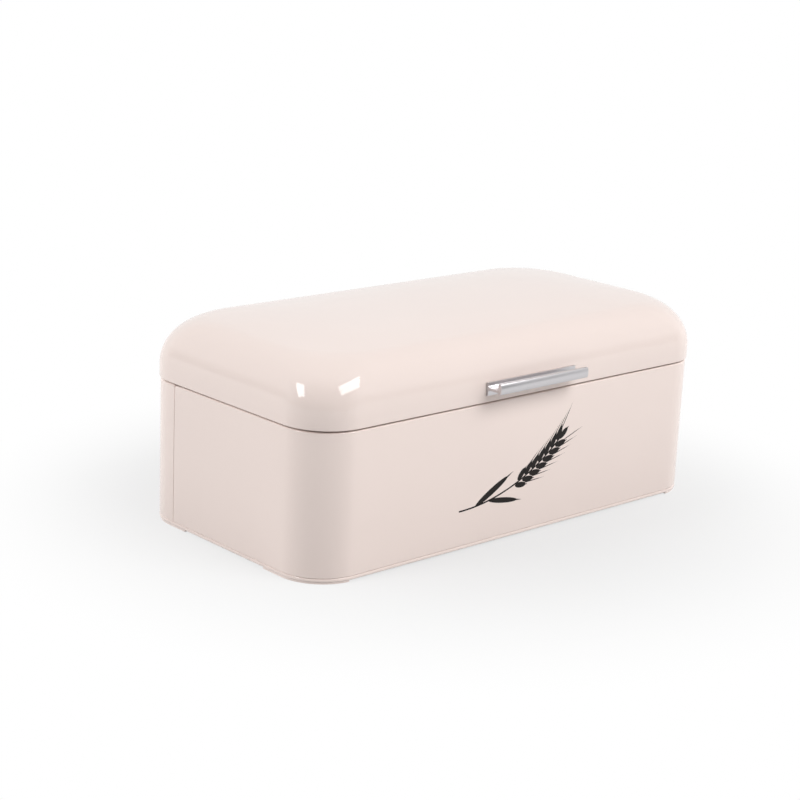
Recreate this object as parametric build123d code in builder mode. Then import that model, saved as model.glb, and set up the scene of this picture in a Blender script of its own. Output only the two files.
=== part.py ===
"""A steel bread box with a hinged, domed lid.

The frame has +Z up, +X to the right and the front at -Y. The origin is on the table, under the middle
of the box's overall outline. All sizes are in millimetres.
"""

from build123d import *
from math import asin, atan2, cos, degrees, hypot, radians, sin
import os

os.makedirs("parts", exist_ok=True)

# Overall sizes of the box
lid_width = 430.0
lid_depth = 220.0
parting_height = 116.7
parting_gap = 0.3
lid_overhang = 1.0
base_corner_r = 38.3
sheet = 0.5

# Lid: a lower edge turned inwards, a short upright skirt, an elliptical shoulder and a crowned top
lid_hem_bevel = 2.0
lid_hem_width = 7.0
skirt_height = 8.65
shoulder_run = 30.4
shoulder_rise = 38.4
shoulder_end_angle = 84
shoulder_step_angle = 14
corner_growth = 6.7
crown_rise = 4.1

# Base walls: two bent sheets lapped on the sides, with an upper edge turned inwards
rim_hem_bevel = 2.0
rim_hem_width = 6.0
lap_from_corner = 6.7
lap_gap = 0.4
lap_width = 10.0
lap_joggle = 5.0
vent_hole_r = 3.0
vent_pitch = 16.0
vent_count = 3
vent_drop = 32.0

# Base pan: a shallow pressed tray with corner feet
bead_proud = 0.6
bead_height = 3.5
bead_bevel = 0.25
pan_clearance = 0.05
foot_drop = 1.4
foot_length_side = 60.0
foot_length_front = 36.0

# Rear hinges
hinge_spacing = 230.0
hinge_width = 36.0
leaf_thickness = 1.0
leaf_corner = 2.0
base_leaf_height = 13.2
pin_r = 1.25
running_clearance = 0.05
knuckle_wall = 1.1
knuckle_side_gap = 0.3
knuckle_swing_gap = 0.4
hinge_axis_out = 2.6
opening_angle = 100.0
stop_reach = 1.0
stop_thickness = 1.0
stop_clearance = 0.1

# Hinge rivets
rivet_r = 1.5
rivet_clearance = 0.05
rivet_head_r = 2.7
rivet_head_height = 0.9
rivet_spacing = 22.0

# Handle: an aluminium extrusion with a back flange, a web with rounded roots and a bowed front bar
handle_length = 97.0
handle_reach = 16.0
handle_lift = 4.0
flange_height = 9.6
flange_thickness = 1.8
web_rise = 5.2
web_thickness = 2.0
flange_root_r = 2.0
bar_root_r = 1.0
bar_rise = 4.15
bar_height = 8.1
bar_thickness = 3.4
bar_bow = 1.0

# Handle screws
screw_r = 1.2
screw_clearance = 0.05
screw_spacing = 64.0
screw_rise = 2.0
screw_head_r = 2.3
screw_head_height = 1.6

# Sizes that follow from the ones above, with fore and aft places taken from the middle of the box
base_width = lid_width - 2 * lid_overhang
base_depth = lid_depth - 2 * lid_overhang
lid_corner_r = base_corner_r + lid_overhang
pan_floor_height = foot_drop + sheet
rim_height = parting_height - parting_gap / 2
lid_foot_height = parting_height + parting_gap / 2
skirt_foot = lid_foot_height + lid_hem_bevel
shoulder_height = skirt_foot + skirt_height
overall_height = shoulder_height + shoulder_rise + crown_rise
lap_y = base_depth / 2 - base_corner_r - lap_from_corner
bore_r = pin_r + running_clearance
knuckle_r = bore_r + knuckle_wall
leaf_swing = knuckle_r + knuckle_swing_gap
knuckle_length = (hinge_width - knuckle_side_gap) / 2
hinge_axis_y = base_depth / 2 + hinge_axis_out
stop_length = knuckle_r + stop_reach
hinge_xs = (-hinge_spacing / 2, hinge_spacing / 2)
rivet_xs = [x + step for x in hinge_xs for step in (-rivet_spacing / 2, rivet_spacing / 2)]
rivet_hole_r = rivet_r + rivet_clearance
base_leaf_y = base_depth / 2 + leaf_thickness
lid_leaf_y = lid_depth / 2 + leaf_thickness
base_rivet_height = parting_height - leaf_swing - base_leaf_height / 2
lid_rivet_height = (parting_height + leaf_swing + shoulder_height) / 2
handle_foot_height = skirt_foot + handle_lift
screw_xs = (-screw_spacing / 2, screw_spacing / 2)
screw_height = handle_foot_height + screw_rise
screw_hole_r = screw_r + screw_clearance

# The middle of the box stands off the origin, so that handle and hinges reach equally far from it
body_y = (lid_depth / 2 + handle_reach - hinge_axis_y - stop_length) / 2


def level(height):
    """A horizontal plane at a height, centred on the box."""
    return Plane((0, body_y, height))


def upright(x, y):
    """A plane square to the side walls, with its own x to the right and its own y upwards."""
    return Plane((x, body_y + y, 0), x_dir=(1, 0, 0), z_dir=(0, -1, 0))


def across(x):
    """A plane square to the front wall, with its own x to the rear and its own y upwards."""
    return Plane((x, body_y, 0), x_dir=(0, 1, 0), z_dir=(1, 0, 0))


def rearward(xs, y, height):
    """A row of places whose own z axis points to the rear."""
    return [Location((x, body_y + y, height), (-90, 0, 0)) for x in xs]


def hem_section(plane, foot, edge, bevel, width, turn):
    """Section of a sheet from foot to an edge turned inwards; turn is 1 at a top edge or -1 below."""
    bend = edge - turn * bevel
    inner_edge = edge - turn * sheet
    with BuildSketch(plane) as section:
        with BuildLine():
            Polyline(
                (0, foot),
                (0, bend),
                (bevel, edge),
                (width, edge),
                (width, inner_edge),
                (bevel, inner_edge),
                (sheet, bend),
                (sheet, foot),
                close=True,
            )
        make_face()
    return section.sketch


def wall_section(y):
    """Section of a base wall, from the pan's floor to its turned upper edge."""
    plane = upright(-base_width / 2, y)
    return hem_section(plane, pan_floor_height, rim_height, rim_hem_bevel, rim_hem_width, 1)


def u_path(width, depth, corner_r, end_y, side):
    """Route round three sides of a rounded outline, from left to right; side is -1 front or 1 rear."""
    with BuildLine(level(0)) as path:
        FilletPolyline(
            (-width / 2, end_y),
            (-width / 2, side * depth / 2),
            (width / 2, side * depth / 2),
            (width / 2, end_y),
            radius=corner_r,
        )
    return path.line


def outline(half_width, half_depth, corner_r, height):
    """A rounded rectangle at a height."""
    with BuildSketch(level(height)) as section:
        RectangleRounded(2 * half_width, 2 * half_depth, corner_r)
    return section.sketch


def shoulder_sections(inset):
    """Level outlines of the lid's shoulder, drawn in by inset; its corners grow rounder upwards."""
    sections = []
    for angle in range(0, shoulder_end_angle + 1, shoulder_step_angle):
        drawn_in = 1 - cos(radians(angle))
        run = inset + (shoulder_run - inset) * drawn_in
        corner_r = lid_corner_r - inset + corner_growth * drawn_in
        height = shoulder_height + (shoulder_rise - inset) * sin(radians(angle))
        sections.append(outline(lid_width / 2 - run, lid_depth / 2 - run, corner_r, height))
    return sections


def lid_blank(inset):
    """The lid's shoulder as bands between its outlines, closed by a smooth crown, drawn in by inset."""
    faces = loft(shoulder_sections(inset), ruled=True).faces().sort_by(Axis.Z)
    summit = (0, body_y, overall_height - inset)
    crown = Face.make_surface(faces[-1].outer_wire(), surface_points=[summit])
    return Solid(Shell([*faces[:-1], crown]))


# Front wrap: the front, both front corners and the sides as far as the lap
with BuildPart() as front_wrap:
    sweep(wall_section(lap_y), path=u_path(base_width, base_depth, base_corner_r, lap_y, -1))
front_wrap.part.label = "front_wrap"
export_step(front_wrap.part, "parts/front_wrap.step")

# Rear wrap: the rear and its corners, with a tongue set in under the front wrap at each lap
rear_end_y = lap_y + lap_gap
tongue_length = lap_width + lap_gap + lap_joggle
with BuildPart() as rear_wrap:
    sweep(wall_section(rear_end_y), path=u_path(base_width, base_depth, base_corner_r, rear_end_y, 1))
    with BuildSketch(level(pan_floor_height)):
        with Locations((0, lap_y - lap_width + tongue_length / 2)):
            with GridLocations(base_width - 3 * sheet, 0, 2, 1):
                Rectangle(sheet, tongue_length)
    extrude(amount=rim_height - rim_hem_bevel - pan_floor_height)
    with Locations(*rearward(rivet_xs, base_depth / 2, base_rivet_height)):
        Hole(rivet_hole_r, depth=2 * sheet)
    with Locations(*rearward([0], base_depth / 2, parting_height - vent_drop)):
        with GridLocations(vent_pitch, 0, vent_count, 1):
            Hole(vent_hole_r, depth=2 * sheet)
rear_wrap.part.label = "rear_wrap"
export_step(rear_wrap.part, "parts/rear_wrap.step")

# Base pan: a tray that the walls stand in, with its corners pressed down as hollow feet
bead_width = base_width + 2 * bead_proud
bead_depth = base_depth + 2 * bead_proud
bead_corner_r = base_corner_r + bead_proud
foot_wall = bead_proud + 2 * sheet
with BuildPart() as base_pan:
    with BuildSketch(level(foot_drop)):
        RectangleRounded(bead_width, bead_depth, bead_corner_r)
    extrude(amount=bead_height)
    with BuildSketch(level(pan_floor_height)):
        RectangleRounded(
            base_width + 2 * pan_clearance, base_depth + 2 * pan_clearance, base_corner_r + pan_clearance
        )
    extrude(amount=bead_height, mode=Mode.SUBTRACT)
    rim_top = base_pan.faces().sort_by(Axis.Z)[-1]
    chamfer(rim_top.outer_wire().edges(), bead_bevel)
    for floor, inset, mode in ((0, 0, Mode.ADD), (sheet, foot_wall, Mode.SUBTRACT)):
        with BuildSketch(level(floor)):
            with GridLocations(bead_width, bead_depth, 2, 2):
                Rectangle(2 * (foot_length_front - inset), 2 * (foot_length_side - inset))
            RectangleRounded(
                bead_width - 2 * inset, bead_depth - 2 * inset, bead_corner_r - inset, mode=Mode.INTERSECT
            )
        extrude(amount=foot_drop, mode=mode)
base_pan.part.label = "base_pan"
export_step(base_pan.part, "parts/base_pan.step")

# Lid shell: one deep-drawn sheet, open below, with its lower edge turned inwards
skirt_section = hem_section(
    upright(-lid_width / 2, 0), shoulder_height, lid_foot_height, lid_hem_bevel, lid_hem_width, -1
)
with BuildPart() as lid_shell:
    add(lid_blank(0))
    add(lid_blank(sheet), mode=Mode.SUBTRACT)
    for side in (-1, 1):
        sweep(skirt_section, path=u_path(lid_width, lid_depth, lid_corner_r, 0, side))
    with Locations(*rearward(rivet_xs, lid_depth / 2, lid_rivet_height)):
        Hole(rivet_hole_r, depth=2 * sheet)
    with Locations(*rearward(screw_xs, sheet - lid_depth / 2, screw_height)):
        Hole(screw_hole_r, depth=2 * sheet)
lid_shell.part.label = "lid_shell"
export_step(lid_shell.part, "parts/lid_shell.step")

# Where the lid's stop points at rest, so that it meets the base leaf when the lid is fully open
stop_room = hinge_axis_out - leaf_thickness - stop_clearance
stop_half = stop_thickness / 2
stop_lean = asin(stop_room / hypot(stop_length, stop_half)) - atan2(stop_half, stop_length)
stop_angle = opening_angle - 90 - degrees(stop_lean)

# Rear hinges: each has a leaf riveted to the base, a leaf riveted to the lid and a pin
for side, hinge_x in zip(("left", "right"), hinge_xs):
    hinge_start = hinge_x - hinge_width / 2
    hinge_end = hinge_x + hinge_width / 2
    hinge_rivet_xs = (hinge_x - rivet_spacing / 2, hinge_x + rivet_spacing / 2)

    # Base leaf: flat on the rear wall, with its knuckle at the left
    with BuildPart() as base_leaf:
        with BuildSketch(across(hinge_start)):
            with Locations((base_leaf_y, parting_height - leaf_swing)):
                Rectangle(leaf_thickness, base_leaf_height, align=Align.MAX)
        extrude(amount=hinge_width)
        chamfer(base_leaf.edges().filter_by(Axis.Y).group_by(Axis.Z)[0], leaf_corner)
        with BuildSketch(across(hinge_start)):
            with Locations((hinge_axis_y, parting_height)):
                Circle(knuckle_r)
            with Locations((base_leaf_y, parting_height)):
                Rectangle(leaf_thickness, leaf_swing, align=Align.MAX)
            with Locations((hinge_axis_y, parting_height)):
                Circle(bore_r, mode=Mode.SUBTRACT)
        extrude(amount=knuckle_length)
        with Locations(*rearward(hinge_rivet_xs, base_leaf_y, base_rivet_height)):
            Hole(rivet_hole_r, depth=2 * leaf_thickness)
    base_leaf.part.label = f"hinge_base_leaf_{side}"
    export_step(base_leaf.part, f"parts/hinge_base_leaf_{side}.step")

    # Lid leaf: flat on the lid's skirt, with its knuckle at the right, which carries the stop
    with BuildPart() as lid_leaf:
        with BuildSketch(across(hinge_start)):
            with Locations((lid_leaf_y, shoulder_height)):
                Rectangle(leaf_thickness, shoulder_height - parting_height - leaf_swing, align=Align.MAX)
        extrude(amount=hinge_width)
        chamfer(lid_leaf.edges().filter_by(Axis.Y).group_by(Axis.Z)[-1], leaf_corner)
        with BuildSketch(across(hinge_end)):
            with Locations((hinge_axis_y, parting_height)):
                Circle(knuckle_r)
                Rectangle(stop_length, stop_thickness, rotation=stop_angle, align=(Align.MIN, Align.CENTER))
            with Locations((lid_leaf_y, parting_height)):
                Rectangle(leaf_thickness, leaf_swing, align=(Align.MAX, Align.MIN))
            with Locations((hinge_axis_y, parting_height)):
                Circle(bore_r, mode=Mode.SUBTRACT)
        extrude(amount=-knuckle_length)
        with Locations(*rearward(hinge_rivet_xs, lid_leaf_y, lid_rivet_height)):
            Hole(rivet_hole_r, depth=2 * leaf_thickness)
    lid_leaf.part.label = f"hinge_lid_leaf_{side}"
    export_step(lid_leaf.part, f"parts/hinge_lid_leaf_{side}.step")

    # Pin: a plain steel wire as long as both knuckles
    with BuildPart() as hinge_pin:
        with BuildSketch(across(hinge_start)):
            with Locations((hinge_axis_y, parting_height)):
                Circle(pin_r)
        extrude(amount=hinge_width)
    hinge_pin.part.label = f"hinge_pin_{side}"
    export_step(hinge_pin.part, f"parts/hinge_pin_{side}.step")

# How a shank or a head lies along its own axis
above = (Align.CENTER, Align.CENTER, Align.MIN)
below = (Align.CENTER, Align.CENTER, Align.MAX)

# Hinge rivets: flat heads at the rear, with shanks through leaf and sheet
for name, leaf_y, height in (
    ("base_hinge_rivets", base_leaf_y, base_rivet_height),
    ("lid_hinge_rivets", lid_leaf_y, lid_rivet_height),
):
    with BuildPart() as rivets:
        with Locations(*rearward(rivet_xs, leaf_y, height)):
            Cylinder(rivet_head_r, rivet_head_height, align=above)
            Cylinder(rivet_r, leaf_thickness + sheet, align=below)
    rivets.part.label = name
    export_step(rivets.part, f"parts/{name}.step")

# Handle bar: an extrusion cut to length, with two tapped holes in its back flange
flange_back_y = -lid_depth / 2
bar_front_y = flange_back_y - handle_reach
bar_back_y = bar_front_y + bar_thickness
bar_edge_y = bar_front_y + bar_bow
bar_foot = handle_foot_height + bar_rise
bar_top = bar_foot + bar_height
web_foot = handle_foot_height + web_rise
with BuildPart() as handle_bar:
    with BuildSketch(across(-handle_length / 2)) as handle_profile:
        with Locations((flange_back_y, handle_foot_height)):
            Rectangle(flange_thickness, flange_height, align=(Align.MAX, Align.MIN))
        with Locations((flange_back_y, web_foot)):
            Rectangle(handle_reach - bar_thickness, web_thickness, align=(Align.MAX, Align.MIN))
        with BuildLine():
            Line((bar_edge_y, bar_foot), (bar_back_y, bar_foot))
            Line((bar_back_y, bar_foot), (bar_back_y, bar_top))
            Line((bar_back_y, bar_top), (bar_edge_y, bar_top))
            bar_middle = (bar_foot + bar_top) / 2
            ThreePointArc((bar_edge_y, bar_top), (bar_front_y, bar_middle), (bar_edge_y, bar_foot))
        make_face()
        for root_y, root_r in ((bar_back_y, bar_root_r), (flange_back_y - flange_thickness, flange_root_r)):
            roots = handle_profile.vertices().filter_by_position(Axis.X, root_y, root_y)
            fillet(roots.filter_by_position(Axis.Y, web_foot, web_foot + web_thickness), root_r)
    extrude(amount=handle_length)
    with Locations(*rearward(screw_xs, flange_back_y, screw_height)):
        Hole(screw_hole_r, depth=2 * flange_thickness)
handle_bar.part.label = "handle_bar"
export_step(handle_bar.part, "parts/handle_bar.step")

# Handle screws: put in from inside the lid
with BuildPart() as handle_screws:
    with Locations(*rearward(screw_xs, sheet - lid_depth / 2, screw_height)):
        Cylinder(screw_r, sheet + flange_thickness, align=below)
        Cylinder(screw_head_r, screw_head_height, align=above)
handle_screws.part.label = "handle_screws"
export_step(handle_screws.part, "parts/handle_screws.step")
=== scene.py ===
"""Cream enamelled bread box with a hinged lid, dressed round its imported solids."""

import math

import bmesh
import bpy
from mathutils import Matrix, Quaternion, Vector


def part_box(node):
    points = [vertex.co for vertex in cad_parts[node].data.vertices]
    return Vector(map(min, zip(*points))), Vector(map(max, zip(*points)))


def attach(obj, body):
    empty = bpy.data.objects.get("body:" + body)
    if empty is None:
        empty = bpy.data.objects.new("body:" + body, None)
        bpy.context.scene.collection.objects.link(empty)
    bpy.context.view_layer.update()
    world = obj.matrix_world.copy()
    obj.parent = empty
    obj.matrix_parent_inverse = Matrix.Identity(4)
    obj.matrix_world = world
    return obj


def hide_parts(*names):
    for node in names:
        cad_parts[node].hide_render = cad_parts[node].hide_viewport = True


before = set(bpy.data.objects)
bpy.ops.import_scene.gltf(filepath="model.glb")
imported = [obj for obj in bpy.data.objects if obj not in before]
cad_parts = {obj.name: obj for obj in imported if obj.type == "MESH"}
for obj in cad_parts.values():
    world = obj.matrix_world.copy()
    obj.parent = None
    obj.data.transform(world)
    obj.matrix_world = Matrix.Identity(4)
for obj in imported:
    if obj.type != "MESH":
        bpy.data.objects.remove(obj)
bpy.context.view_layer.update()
mm = 0.001

# Base pan: the pressed steel bottom, enamelled with the rest of the box. Its rim is turned up round
# the foot of the walls as a bead, and its four corners are pressed down into feet.
pan_low, pan_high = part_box("base_pan")
front_low, front_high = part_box("front_wrap")
box_middle = (pan_low.y + pan_high.y) / 2
pan_width = pan_high.x - pan_low.x
pan_depth = pan_high.y - pan_low.y
base_corner = 38.3 * mm
corner_steps = 20
wall_step = front_low.x - pan_low.x
bead_corner = base_corner + wall_step
bead_foot = 1.4 * mm
bead_drop = 0.7 * mm
bead_top = pan_high.z - bead_drop
bead_bulge = 0.9 * mm
bead_turn = math.radians(80)
bead_steps = 10
bead_lip = 0.03 * mm
pan_floor = 1.9 * mm
foot_width = 36 * mm
foot_depth = 60 * mm
smooth_angle = math.radians(35)
paint_cream = (0.80, 0.685, 0.638, 1)
paint_pale_cream = (0.82, 0.705, 0.658, 1)


def new_piece(name):
    """Opens a new piece in edit mode, with nothing in it yet."""
    bpy.ops.object.select_all(action="DESELECT")
    bpy.ops.mesh.primitive_plane_add()
    piece = bpy.context.object
    piece.name = name
    piece.data.name = name
    bpy.ops.object.mode_set(mode="EDIT")
    bpy.ops.mesh.delete(type="VERT")
    return piece


def rounded_outline(width, depth, height, corner):
    """Adds a level outline with round corners, centred on the box, to the open piece."""
    place = (0, box_middle, height)
    bpy.ops.mesh.primitive_plane_add(size=1, location=place)
    bpy.ops.transform.resize(value=(width, depth, 1), center_override=place)
    bpy.ops.mesh.bevel(offset=corner, segments=corner_steps, affect="VERTICES")
    bpy.ops.mesh.delete(type="ONLY_FACE")


def set_in(width, depth, corner, inset, height):
    """The outline that lies inside a larger one by the same distance all round, at its own height."""
    return width - 2 * inset, depth - 2 * inset, height, corner - inset


def skin_through(outlines):
    """Joins a run of outlines, from the lowest one up, into one skin."""
    for outline in outlines:
        rounded_outline(*outline)
    bpy.ops.mesh.select_all(action="SELECT")
    bpy.ops.mesh.bridge_edge_loops()


def pick(kind, wanted):
    """Selects the vertices, edges or faces of the open piece that are wanted, and nothing else."""
    bpy.ops.mesh.select_mode(type=kind)
    bpy.ops.mesh.select_all(action="DESELECT")
    mesh = bpy.context.object.data
    shape = bmesh.from_edit_mesh(mesh)
    for part in {"VERT": shape.verts, "EDGE": shape.edges, "FACE": shape.faces}[kind]:
        if wanted(part):
            part.select_set(True)
    shape.select_flush_mode()
    bmesh.update_edit_mesh(mesh)


def near(value, target):
    """True where two lengths are the same to a few thousandths of a millimetre."""
    return abs(value - target) < 0.005 * mm


def pick_level_edges(height):
    """Selects the open piece's edges that lie level at one height."""
    pick("EDGE", lambda edge: all(near(end.co.z, height) for end in edge.verts))


def draw_in(width, depth, inwards, height):
    """Extrudes the selected outline to one that lies further in, at its own height."""
    bpy.ops.mesh.extrude_edges_move()
    shrink = (1 - 2 * inwards / width, 1 - 2 * inwards / depth, 1)
    bpy.ops.transform.resize(value=shrink, center_override=(0, box_middle, height))


def turn_outwards():
    """Turns all faces of the open piece outwards."""
    bpy.ops.mesh.select_all(action="SELECT")
    bpy.ops.mesh.normals_make_consistent(inside=False)


def cut_across(place, direction, **kept):
    """Cuts the whole open piece along a plane."""
    bpy.ops.mesh.select_all(action="SELECT")
    bpy.ops.mesh.bisect(plane_co=place, plane_no=direction, **kept)


def finish_piece(piece, body, material, *nodes):
    """Leaves edit mode, smooths the shading, and puts the piece on its body in place of its nodes."""
    bpy.ops.object.mode_set(mode="OBJECT")
    bpy.ops.object.shade_smooth_by_angle(angle=smooth_angle)
    piece.data.materials.clear()
    piece.data.materials.append(material)
    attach(piece, body)
    if nodes:
        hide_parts(*nodes)


class Value:
    """A shader socket that is used in sums as a Python number is."""

    def __init__(self, tree, socket=None):
        self.tree = tree
        self.socket = socket

    def node(self, kind, settings, inputs, output=0):
        """Adds a node: its settings first, then the values or links of its sockets."""
        made = self.tree.nodes.new(kind)
        for name, setting in settings.items():
            setattr(made, name, setting)
        for name, held in inputs.items():
            if isinstance(held, Value):
                self.tree.links.new(held.socket, made.inputs[name])
            else:
                made.inputs[name].default_value = held
        return Value(self.tree, made.outputs[output])

    def feeds(self, node, name):
        """Links the value to a socket of a node."""
        self.tree.links.new(self.socket, node.inputs[name])

    def maths(self, operation, first, second):
        """Adds a Math node."""
        return self.node("ShaderNodeMath", {"operation": operation}, {0: first, 1: second})

    def __add__(self, other):
        return self.maths("ADD", self, other)

    __radd__ = __add__

    def __sub__(self, other):
        return self.maths("SUBTRACT", self, other)

    def __rsub__(self, other):
        return self.maths("SUBTRACT", other, self)

    def __mul__(self, other):
        return self.maths("MULTIPLY", self, other)

    __rmul__ = __mul__


def new_finish(name):
    """A material with its shader, and the object coordinates that its patterns read."""
    material = bpy.data.materials.new(name)
    material.use_nodes = True
    tree = material.node_tree
    place = Value(tree).node("ShaderNodeTexCoord", {}, {}, "Object")
    return material, tree.nodes["Principled BSDF"], place


def noise(place, scale, detail):
    """Soft cloudy noise over a piece."""
    inputs = {"Vector": place, "Scale": scale, "Detail": detail}
    return place.node("ShaderNodeTexNoise", {}, inputs, "Fac")


def uneven_roughness(shader, place, least, most, scale):
    """Lets the roughness of a finish wander between two values over a piece."""
    roughness = least + (most - least) * noise(place, scale, detail=2)
    roughness.feeds(shader, "Roughness")


cream_paint, paint_shader, paint_place = new_finish("cream_paint")
paint_shader.inputs["IOR"].default_value = 1.5
paint_cloud = noise(paint_place, scale=9, detail=3)
paint_colour = paint_place.node(
    "ShaderNodeMix",
    {"data_type": "RGBA"},
    {"Factor": paint_cloud, "A": paint_cream, "B": paint_pale_cream},
    "Result",
)
paint_colour.feeds(paint_shader, "Base Color")
uneven_roughness(paint_shader, paint_place, least=0.03, most=0.06, scale=30)
paint_ripple = noise(paint_place, scale=420, detail=1)
paint_skin = paint_place.node(
    "ShaderNodeBump",
    {},
    {"Strength": 0.02, "Distance": 0.4 * mm, "Height": paint_ripple},
    "Normal",
)
paint_skin.feeds(paint_shader, "Normal")

bead_outlines = []
for step in range(bead_steps + 1):
    turn = bead_turn * (2 * step / bead_steps - 1)
    inset = wall_step + bead_bulge * (1 - math.cos(turn))
    rise = (1 + math.sin(turn) / math.sin(bead_turn)) / 2
    height = bead_foot + (bead_top - bead_foot) * rise
    bead_outlines.append(set_in(pan_width, pan_depth, bead_corner, inset, height))
base_pan = new_piece("base_pan_sheet")
skin_through(bead_outlines)
pick_level_edges(bead_foot)
bpy.ops.mesh.edge_face_add()
pick_level_edges(bead_top)
draw_in(pan_width, pan_depth, bead_lip, bead_top)
bpy.ops.mesh.extrude_edges_move(TRANSFORM_OT_translate={"value": (0, 0, pan_floor - bead_top)})
bpy.ops.mesh.edge_face_add()
foot_x = pan_width / 2 - foot_width
foot_y = pan_depth / 2 - foot_depth
for side in (-1, 1):
    cut_across((side * foot_x, 0, 0), (1, 0, 0))
    cut_across((0, box_middle + side * foot_y, 0), (0, 1, 0))
turn_outwards()


def over_a_foot(face):
    """True for the parts of the pan's underside that are pressed down into feet."""
    middle = face.calc_center_bounds()
    in_corner = abs(middle.x) > foot_x and abs(middle.y - box_middle) > foot_y
    return in_corner and near(middle.z, bead_foot)


pick("FACE", over_a_foot)
bpy.ops.mesh.extrude_region_move(TRANSFORM_OT_translate={"value": (0, 0, pan_low.z - bead_foot)})
finish_piece(base_pan, "base", cream_paint, "base_pan")

# Wraps: two bent steel sheets that make the walls, with their upper edges rolled inwards. The front
# one laps over a stepped tongue of the rear one, in an upright seam near the rear of each side.
# Three small air holes are drilled through the rear one, below the rim.
rear_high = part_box("rear_wrap")[1]
wall_width = front_high.x - front_low.x
wall_depth = rear_high.y - front_low.y
parting_drop = 0.85 * mm
wall_top = front_high.z - parting_drop
sheet = 0.5 * mm
neck_gap = 0.05 * mm
foot_neck = bead_bulge + neck_gap
neck_rise = 0.9 * mm
rim_roll = 1.2 * mm
rim_flange = 6.0 * mm
roll_steps = 6
roll_turns = [math.pi / 2 * step / roll_steps for step in range(roll_steps + 1)]
seam_y = front_high.y
seam_gap = 0.5 * mm
seam_corner = 3.0 * mm
seam_corner_cuts = ((0.35, math.radians(65)), (1.0, math.radians(25)))
tongue_step = 0.56 * mm
tongue_width = 10 * mm
tongue_tuck = 3 * seam_gap
air_hole_r = 3.0 * mm
air_hole_sides = 32
air_hole_pitch = 16 * mm
air_hole_drop = 32 * mm
drill_length = 8 * sheet


def rolled_wall(name, sunk):
    """Opens a piece with the whole wall in it, rolled in at the rim and sunk inside its place."""
    wall = new_piece(name)
    roll = rim_roll - sunk
    top = wall_top - sunk
    sections = [(foot_neck, pan_floor)]
    for turn in roll_turns:
        neck_height = bead_top + neck_rise * (1 - math.cos(turn))
        sections.append((foot_neck * (1 - math.sin(turn)), neck_height))
    for turn in roll_turns:
        sections.append((roll * (1 - math.cos(turn)), top - roll * (1 - math.sin(turn))))
    skin_through(
        set_in(wall_width, wall_depth, base_corner, inset + sunk, height) for inset, height in sections
    )
    pick_level_edges(top)
    draw_in(wall_width, wall_depth, rim_flange, top)
    turn_outwards()
    return wall


def apply_modifier(piece, kind, **settings):
    """Leaves edit mode, and gives the active piece a modifier that is applied at once."""
    bpy.ops.object.mode_set(mode="OBJECT")
    modifier = piece.modifiers.new(kind.lower(), kind)
    for name, setting in settings.items():
        setattr(modifier, name, setting)
    bpy.ops.object.modifier_apply(modifier=modifier.name)


def thicken(piece, depth):
    """Leaves edit mode and gives a skin its thickness, on the inner side."""
    apply_modifier(piece, "SOLIDIFY", thickness=depth, offset=-1)


front_sheet = rolled_wall("front_sheet", 0)
cut_across((0, seam_y, 0), (0, 1, 0), clear_outer=True)
for share, slope in seam_corner_cuts:
    corner_place = (0, seam_y - seam_corner * share, wall_top)
    cut_across(corner_place, (0, math.sin(slope), math.cos(slope)), clear_outer=True)
thicken(front_sheet, sheet)
finish_piece(front_sheet, "base", cream_paint, "front_wrap")

tongue = rolled_wall("tongue", tongue_step)
cut_across((0, seam_y - tongue_width, 0), (0, 1, 0), clear_inner=True)
cut_across((0, seam_y + tongue_tuck, 0), (0, 1, 0), clear_outer=True)
thicken(tongue, sheet)
rear_sheet = rolled_wall("rear_sheet", 0)
cut_across((0, seam_y + seam_gap, 0), (0, 1, 0), clear_inner=True)
thicken(rear_sheet, sheet)
for place in (-air_hole_pitch, 0, air_hole_pitch):
    bpy.ops.object.select_all(action="DESELECT")
    bpy.ops.mesh.primitive_cylinder_add(
        vertices=air_hole_sides,
        radius=air_hole_r,
        depth=drill_length,
        location=(place, rear_high.y, wall_top - air_hole_drop),
        rotation=(math.pi / 2, 0, 0),
    )
    drill = bpy.context.object
    bpy.context.view_layer.objects.active = rear_sheet
    apply_modifier(rear_sheet, "BOOLEAN", operation="DIFFERENCE", object=drill)
    bpy.data.objects.remove(drill)
rear_sheet.select_set(True)
tongue.select_set(True)
bpy.ops.object.join()
finish_piece(rear_sheet, "base", cream_paint, "rear_wrap")

# Printed sprig: a plain ear of wheat with two leaves on a bent stem, printed on the front in one dark
# ink and fired on. The film of ink stands a few hundredths of a millimetre proud of the enamel.
# Places along the stem and leans are in degrees.
ink_film = 0.04 * mm
ink_lift = 0.05 * mm
ink_y = front_low.y - ink_lift
sprig_start = Vector((-70 * mm, ink_y, 33 * mm))
sprig_radius = 165 * mm
sprig_turn = 41
sprig_centre = sprig_start + Vector((0, 0, sprig_radius))
stem_width = 1.3 * mm
stem_stroke = 0.2 * mm
stem_steps = 30
blade_sides = 24
blade_point = 0.18
ear_start = 22
grain_pairs = 7
grain_pitch = 2.9
grain_stagger = 0.7
grain_length = 14 * mm
grain_width = 4.8 * mm
grain_offset = 1.2 * mm
grain_lean = 26
beard_lead = 1
beard_length = 2.2 * grain_length
beard_width = 0.7 * mm
beard_offset = 2.2 * mm
beard_lean = 20
ink_charcoal = (0.013, 0.01, 0.009, 1)
print_ink, ink_shader = new_finish("print_ink")[:2]
ink_shader.inputs["Base Color"].default_value = ink_charcoal
ink_shader.inputs["Roughness"].default_value = 0.4
ink_shader.inputs["Specular IOR Level"].default_value = 0.15

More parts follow.
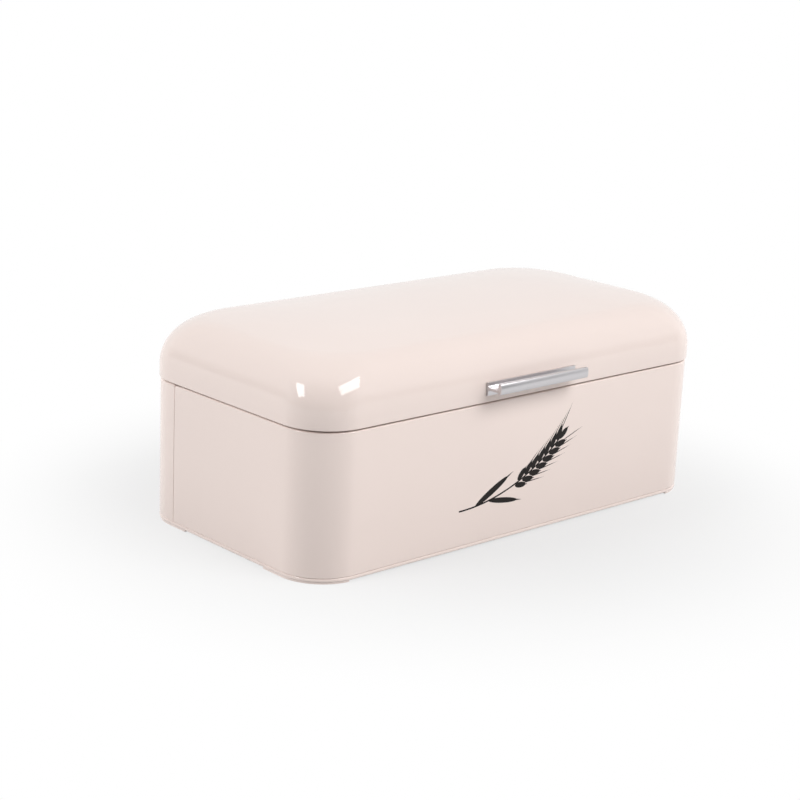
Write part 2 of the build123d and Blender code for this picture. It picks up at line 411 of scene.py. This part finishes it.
sprig = new_piece("printed_sprig")
bpy.ops.mesh.primitive_plane_add(size=1, location=sprig_start, rotation=(math.pi / 2, 0, 0))
bpy.ops.transform.resize(value=(stem_stroke, 1, stem_width), center_override=sprig_start)
pick("EDGE", lambda edge: all(end.co.x > sprig_start.x for end in edge.verts))
bpy.ops.mesh.spin(
    steps=stem_steps, angle=math.radians(sprig_turn), center=sprig_centre, axis=(0, 1, 0)
)
bpy.ops.object.mode_set(mode="OBJECT")

bpy.ops.object.select_all(action="DESELECT")
bpy.ops.mesh.primitive_circle_add(vertices=blade_sides, radius=0.5, fill_type="NGON")
blade_shape = bpy.context.object
bpy.ops.object.mode_set(mode="EDIT")
pick("VERT", lambda end: near(end.co.x, 0.5))
bpy.ops.transform.translate(value=(blade_point, 0, 0))
bpy.ops.mesh.select_all(action="SELECT")
bpy.ops.transform.translate(value=(0.5, 0, 0))
bpy.ops.transform.resize(value=(1 / (1 + blade_point), 1, 1), center_override=(0, 0, 0))
bpy.ops.transform.rotate(value=-math.pi / 2, orient_axis="X", center_override=(0, 0, 0))
bpy.ops.object.mode_set(mode="OBJECT")
blades = []


def add_blade(length, width, along, sideways, lean):
    """A copy of the blade on the sprig: how far round the stem, how far off it, and how it leans."""
    blade = blade_shape.copy()
    blade.data = blade_shape.data.copy()
    bpy.context.collection.objects.link(blade)
    turn = math.radians(along)
    outwards = Vector((math.sin(turn), 0, -math.cos(turn)))
    foot = Matrix.Translation(sprig_centre + outwards * (sprig_radius - sideways))
    direction = Matrix.Rotation(-turn - math.radians(lean), 4, "Y")
    blade.data.transform(foot @ direction @ Matrix.Diagonal((length, 1, width, 1)))
    blades.append(blade)


for pair in range(grain_pairs):
    for side in (-1, 1):
        along = ear_start + grain_pitch * pair + side * grain_stagger
        add_blade(grain_length, grain_width, along, side * grain_offset, side * grain_lean)
        add_blade(
            beard_length, beard_width, along + beard_lead, side * beard_offset, side * beard_lean
        )
add_blade(grain_length, grain_width, along=sprig_turn, sideways=0, lean=0)
add_blade(length=46 * mm, width=5.5 * mm, along=6, sideways=0, lean=22)
add_blade(length=38 * mm, width=4.5 * mm, along=11, sideways=0, lean=-20)
bpy.data.objects.remove(blade_shape)
bpy.ops.object.select_all(action="DESELECT")
for blade in blades:
    blade.select_set(True)
sprig.select_set(True)
bpy.context.view_layer.objects.active = sprig
bpy.ops.object.join()
bpy.ops.object.mode_set(mode="EDIT")
pick("FACE", lambda face: face.normal.y > 0)
bpy.ops.mesh.flip_normals()
thicken(sprig, ink_film)
finish_piece(sprig, "base", print_ink)

# Lid: one deep-drawn steel sheet with a soft shoulder and a slightly crowned top, its lower edge
# rolled inwards. It is enamelled like the base and swings on the hinges at the rear.
lid_low, lid_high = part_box("lid_shell")
lid_width = lid_high.x - lid_low.x
lid_depth = lid_high.y - lid_low.y
lid_lift = 0.3 * mm
lid_foot = lid_low.z + lid_lift
lid_corner = base_corner + front_low.x - lid_low.x
lid_roll = 0.5 * mm
lid_flange = 7.0 * mm
shoulder_foot = 127.5 * mm
shoulder_run = 30.4 * mm
shoulder_rise = 38.4 * mm
shoulder_end = math.radians(84)
shoulder_steps = 14
corner_growth = 6.7 * mm
crown_fullness = 2.58
crown_shares = (0.95, 0.88, 0.79, 0.68, 0.55, 0.41, 0.27, 0.14, 0.05)
largest_corner_share = 0.499
lid_outlines = []
for turn in roll_turns:
    inset = lid_roll * (1 - math.sin(turn))
    height = lid_foot + lid_roll * (1 - math.cos(turn))
    lid_outlines.append(set_in(lid_width, lid_depth, lid_corner, inset, height))
for step in range(shoulder_steps + 1):
    turn = shoulder_end * step / shoulder_steps
    share = 1 - math.cos(turn)
    inset = shoulder_run * share
    height = shoulder_foot + shoulder_rise * math.sin(turn)
    corner = lid_corner + corner_growth * share
    lid_outlines.append((lid_width - 2 * inset, lid_depth - 2 * inset, height, corner))
top_width, top_depth, top_foot, top_corner = lid_outlines[-1]
top_squareness = 1 - 2 * top_corner / top_depth
for share in crown_shares:
    depth = top_depth * share
    width = top_width - top_depth + depth
    height = top_foot + (lid_high.z - top_foot) * (1 - share**crown_fullness)
    corner = largest_corner_share * depth * (1 - top_squareness * share**2)
    lid_outlines.append((width, depth, height, corner))
crown_top = height
lid = new_piece("lid_sheet")
skin_through(lid_outlines)
pick_level_edges(crown_top)
bpy.ops.mesh.edge_face_add()
pick_level_edges(lid_foot)
draw_in(lid_width, lid_depth, lid_flange, lid_foot)
turn_outwards()
thicken(lid, sheet)
finish_piece(lid, "lid", cream_paint, "lid_shell")

# Handle: a length of extruded aluminium, satin anodised and sawn square. Its back flange lies on
# the lid's skirt, and a web with rounded roots carries the bowed bar that the fingers go under.
handle_low, handle_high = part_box("handle_bar")
handle_size = handle_high - handle_low
flange_thickness = 1.8 * mm
flange_height = 10.3 * mm
web_rise = 4.6 * mm
web_thickness = 2.0 * mm
flange_root = 2.0 * mm
bar_root = 1.0 * mm
root_steps = 6
bar_rise = 3.5 * mm
bar_drop = 0.6 * mm
bar_thickness = 3.4 * mm
bar_bow = 1.0 * mm
bow_steps = 10
sawn_edge = 0.2 * mm
sawn_edge_steps = 2
sharp_angle = math.radians(40)
drawing_scale = (8, 900, 900)
aluminium_grey = (0.615, 0.6, 0.615, 1)
web_foot = handle_low.z + web_rise
web_top = web_foot + web_thickness
bar_foot = handle_low.z + bar_rise
bar_top = handle_high.z - bar_drop
bar_height = bar_top - bar_foot
flange_front = handle_high.y - flange_thickness
bar_back = handle_low.y + bar_thickness
bar_edge = handle_low.y + bar_bow
bar_middle_y = (bar_back + bar_edge) / 2


def pick_faces(direction, y, lowest=handle_low.z, highest=handle_high.z):
    """Selects the faces that look straight in a direction, by the place and height of their middles."""

    def wanted(face):
        middle = face.calc_center_median()
        straight = face.normal.dot(Vector(direction)) > 0.99
        return straight and near(middle.y, y) and lowest < middle.z < highest

    pick("FACE", wanted)


def extrude_by(*move):
    """Extrudes what is selected by a straight move."""
    bpy.ops.mesh.extrude_region_move(TRANSFORM_OT_translate={"value": move})


def round_edges(piece, edge, steps):
    """Leaves edit mode and rounds the sharp edges of a piece."""
    apply_modifier(
        piece, "BEVEL", width=edge, segments=steps, limit_method="ANGLE", angle_limit=sharp_angle
    )


handle = new_piece("handle_extrusion")
flange_middle = (0, handle_high.y - flange_thickness / 2, handle_low.z + flange_height / 2)
bpy.ops.mesh.primitive_cube_add(size=1, location=flange_middle)
bpy.ops.transform.resize(
    value=(handle_size.x, flange_thickness, flange_height), center_override=flange_middle
)
for height in (web_foot, web_top):
    cut_across((0, 0, height), (0, 0, 1))
pick_faces((0, -1, 0), flange_front, web_foot, web_top)
extrude_by(0, bar_back - flange_front, 0)
extrude_by(0, bar_edge - bar_back, 0)
for side, rise in ((1, bar_top - web_top), (-1, bar_foot - web_foot)):
    pick_faces((0, 0, side), bar_middle_y)
    extrude_by(0, 0, rise)
bpy.ops.mesh.select_all(action="SELECT")
bpy.ops.mesh.dissolve_limited(angle_limit=math.radians(1))
for root_y, root in ((flange_front, flange_root), (bar_back, bar_root)):
    pick(
        "EDGE",
        lambda edge: all(
            near(end.co.y, root_y) and (near(end.co.z, web_foot) or near(end.co.z, web_top))
            for end in edge.verts
        )
        and near(edge.verts[0].co.z, edge.verts[1].co.z),
    )
    bpy.ops.mesh.bevel(offset=root, segments=root_steps, affect="EDGES")
bow_heights = [bar_foot + bar_height * step / bow_steps for step in range(1, bow_steps)]
for height in bow_heights:
    pick_faces((0, -1, 0), bar_edge)
    bpy.ops.mesh.bisect(plane_co=(0, 0, height), plane_no=(0, 0, 1))
for height in bow_heights:
    off_middle = 1 - 2 * (height - bar_foot) / bar_height
    pick("VERT", lambda end: near(end.co.z, height) and near(end.co.y, bar_edge))
    bpy.ops.transform.translate(value=(0, -bar_bow * (1 - off_middle**2), 0))
turn_outwards()
round_edges(handle, sawn_edge, sawn_edge_steps)
satin_aluminium, aluminium_shader, aluminium_place = new_finish("satin_aluminium")
aluminium_shader.inputs["Base Color"].default_value = aluminium_grey
aluminium_shader.inputs["Metallic"].default_value = 1
drawn_lines = aluminium_place.node(
    "ShaderNodeMapping", {}, {"Vector": aluminium_place, "Scale": drawing_scale}
)
uneven_roughness(aluminium_shader, drawn_lines, least=0.27, most=0.37, scale=1)
finish_piece(handle, "lid", satin_aluminium, "handle_bar")

# Hinges and fasteners: two butt hinges at the rear, each of two stamped leaves on a plain pin, with
# the rivets that hold them to wall and lid, and the screws that hold the handle. All of them are
# zinc-plated steel with broken edges.
leaf_edge = 0.15 * mm
leaf_edge_steps = 2
pin_edge = 0.3 * mm
pin_edge_steps = 2
rivet_edge = 0.5 * mm
rivet_edge_steps = 4
screw_edge = 0.4 * mm
screw_edge_steps = 3
merge_reach = 0.002 * mm
plated_grey = (0.6, 0.6, 0.6, 1)
plated_steel, plated_shader, plated_place = new_finish("plated_steel")
plated_shader.inputs["Base Color"].default_value = plated_grey
plated_shader.inputs["Metallic"].default_value = 1
uneven_roughness(plated_shader, plated_place, least=0.28, most=0.42, scale=160)


def eased_copy(name, body, edge, steps):
    """A merged copy of a node's mesh with its edges rounded, in the node's place."""
    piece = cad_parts[name].copy()
    piece.data = piece.data.copy()
    piece.name = name + "_eased"
    bpy.context.collection.objects.link(piece)
    bpy.ops.object.select_all(action="DESELECT")
    piece.select_set(True)
    bpy.context.view_layer.objects.active = piece
    bpy.ops.object.mode_set(mode="EDIT")
    bpy.ops.mesh.select_all(action="SELECT")
    bpy.ops.mesh.remove_doubles(threshold=merge_reach)
    bpy.ops.mesh.dissolve_limited(angle_limit=math.radians(2))
    round_edges(piece, edge, steps)
    finish_piece(piece, body, plated_steel, name)


for side in ("left", "right"):
    eased_copy("hinge_base_leaf_" + side, "base", leaf_edge, leaf_edge_steps)
    eased_copy("hinge_lid_leaf_" + side, "lid", leaf_edge, leaf_edge_steps)
    eased_copy("hinge_pin_" + side, "base", pin_edge, pin_edge_steps)
eased_copy("base_hinge_rivets", "base", rivet_edge, rivet_edge_steps)
eased_copy("lid_hinge_rivets", "lid", rivet_edge, rivet_edge_steps)
eased_copy("handle_screws", "lid", screw_edge, screw_edge_steps)

# Room: a pale floor that runs out to white, a white backdrop away from the camera, broad light from
# above on both sides, and two soft lamps, one to the left and one to the front right. Limits of
# backdrop, horizon and walls are cosines, to the camera's side of the room or to straight up.
floor_size = 20
floor_pale = (0.6, 0.6, 0.6, 1)
white = (1, 1, 1, 1)
white_at_box = 0.6
white_starts = 0.12
white_full = 0.4
camera_side = Vector((-0.68, -0.73, 0)).normalized()
camera_right = Vector((0.73, -0.68, 0)).normalized()
horizon_dip = 0.7
horizon_band = 0.05
dip_starts = -0.6
dip_full = -0.1
backdrop_full = 0.1
backdrop_ends = 0.75
walls_full = 0.3
walls_end = 0.65
left_glow = 2.6
right_glow = 2.1
side_lift = math.radians(22)
beam_tightness = 8
lamp_aim = Vector((-0.19, box_middle - 0.1, 0.145))
lamp_distance = 2.0
bpy.ops.object.select_all(action="DESELECT")
bpy.ops.mesh.primitive_plane_add(size=floor_size)
floor = bpy.context.object
floor.name = "floor"
pale_floor, floor_shader, floor_place = new_finish("pale_floor")
floor_shader.inputs["Base Color"].default_value = floor_pale
floor_shader.inputs["Roughness"].default_value = 1
floor_shader.inputs["Specular IOR Level"].default_value = 0
floor.data.materials.append(pale_floor)


def ray_test(place, test):
    """1 for the rays that pass a test, and 0 for the others."""
    return place.node("ShaderNodeLightPath", {}, {}, test)


def larger(first, second):
    """The larger of two values."""
    return first.maths("MAXIMUM", first, second)


def seen_directly(place):
    """1 for camera, glossy and transmission rays, and 0 for the rays that carry light."""
    camera_or_glossy = larger(ray_test(place, "Is Camera Ray"), ray_test(place, "Is Glossy Ray"))
    return larger(camera_or_glossy, ray_test(place, "Is Transmission Ray"))


def ramp(value, start, full):
    """Goes softly from 0 to 1 between two values."""
    inputs = {"Value": value, "From Min": start, "From Max": full}
    return value.node("ShaderNodeMapRange", {"interpolation_type": "SMOOTHSTEP"}, inputs)


floor_distance = floor_place.node(
    "ShaderNodeVectorMath", {"operation": "LENGTH"}, {0: floor_place}, "Value"
)
floor_whiteness = white_at_box + (1 - white_at_box) * ramp(floor_distance, white_starts, white_full)
white_glow = floor_place.node("ShaderNodeEmission", {}, {"Color": white, "Strength": 1})
floor_mix = floor_place.node(
    "ShaderNodeMixShader",
    {},
    {
        "Fac": floor_whiteness * seen_directly(floor_place),
        1: Value(pale_floor.node_tree, floor_shader.outputs[0]),
        2: white_glow,
    },
)
floor_mix.feeds(pale_floor.node_tree.nodes["Material Output"], "Surface")

room = bpy.data.worlds.new("studio")
bpy.context.scene.world = room
room.use_nodes = True
room_direction = Value(room.node_tree).node("ShaderNodeTexCoord", {}, {}, "Generated")


def room_cosine(along):
    """The cosine between a ray and a direction in the room."""
    inputs = {0: room_direction, 1: along}
    return room_direction.node("ShaderNodeVectorMath", {"operation": "DOT_PRODUCT"}, inputs, "Value")


def side_beam(side, glow):
    """A broad beam of light from one side, raised above the horizon."""
    sideways = side * math.cos(side_lift) * camera_right
    facing = room_cosine(sideways + Vector((0, 0, math.sin(side_lift))))
    return glow * facing.maths("POWER", larger(facing, 0), beam_tightness)


room_height = room_cosine((0, 0, 1))
room_front = room_cosine(camera_side)
horizon = 1 - ramp(room_height * room_height, 0, horizon_band)
dip = horizon_dip * horizon * ramp(room_front, dip_starts, dip_full)
backdrop = (1 - ramp(room_front, backdrop_full, backdrop_ends)) * (1 - dip)
walls = backdrop * (1 - ramp(room_height, walls_full, walls_end))
room_seen = seen_directly(room_direction)
side_light = (side_beam(-1, left_glow) + side_beam(1, right_glow)) * (1 - room_seen)
room_level = larger(room_seen * backdrop, walls + side_light)
room_level = larger(ray_test(room_direction, "Is Camera Ray"), room_level)
room_level.feeds(room.node_tree.nodes["Background"], "Strength")
room.node_tree.nodes["Background"].inputs["Color"].default_value = white


def soft_lamp(name, azimuth, elevation, roll, width, height, brightness):
    """A rectangular lamp that faces the box from a direction, measured from the front and the floor."""
    turn = math.radians(azimuth)
    lift = math.radians(elevation)
    away = Vector((math.sin(turn) * math.cos(lift), -math.cos(turn) * math.cos(lift), math.sin(lift)))
    bpy.ops.object.light_add(type="AREA", location=lamp_aim + lamp_distance * away)
    lamp = bpy.context.object
    lamp.name = name
    lamp.data.shape = "RECTANGLE"
    lamp.data.size = width
    lamp.data.size_y = height
    lamp.data.energy = brightness * math.pi * width * height
    lamp.rotation_mode = "QUATERNION"
    about_itself = Quaternion((0, 0, 1), math.radians(roll))
    lamp.rotation_quaternion = (-away).to_track_quat("-Z", "Y") @ about_itself


soft_lamp("left_lamp", azimuth=-102, elevation=34.5, roll=33, width=0.53, height=0.9, brightness=9.0)
soft_lamp("right_lamp", azimuth=19, elevation=44.5, roll=-12, width=1.32, height=0.79, brightness=7.5)

# Camera: a long lens to the front left of the box, a little above its lid. It looks at the middle of
# the box and is turned a little about its own line of sight.
camera_place = Vector((-1.04168, box_middle - 1.08915, 0.50381))
camera_aim = Vector((-0.02595, box_middle + 0.01099, 0.08726))
camera_roll = math.radians(2.53)
camera_lens = 85.23
bpy.ops.object.camera_add(location=camera_place)
camera = bpy.context.object
camera.data.lens = camera_lens
camera.rotation_mode = "QUATERNION"
facing = (camera_aim - camera_place).to_track_quat("-Z", "Y")
camera.rotation_quaternion = facing @ Quaternion((0, 0, 1), camera_roll)
bpy.context.scene.camera = camera
bpy.context.scene.view_settings.view_transform = "Standard"
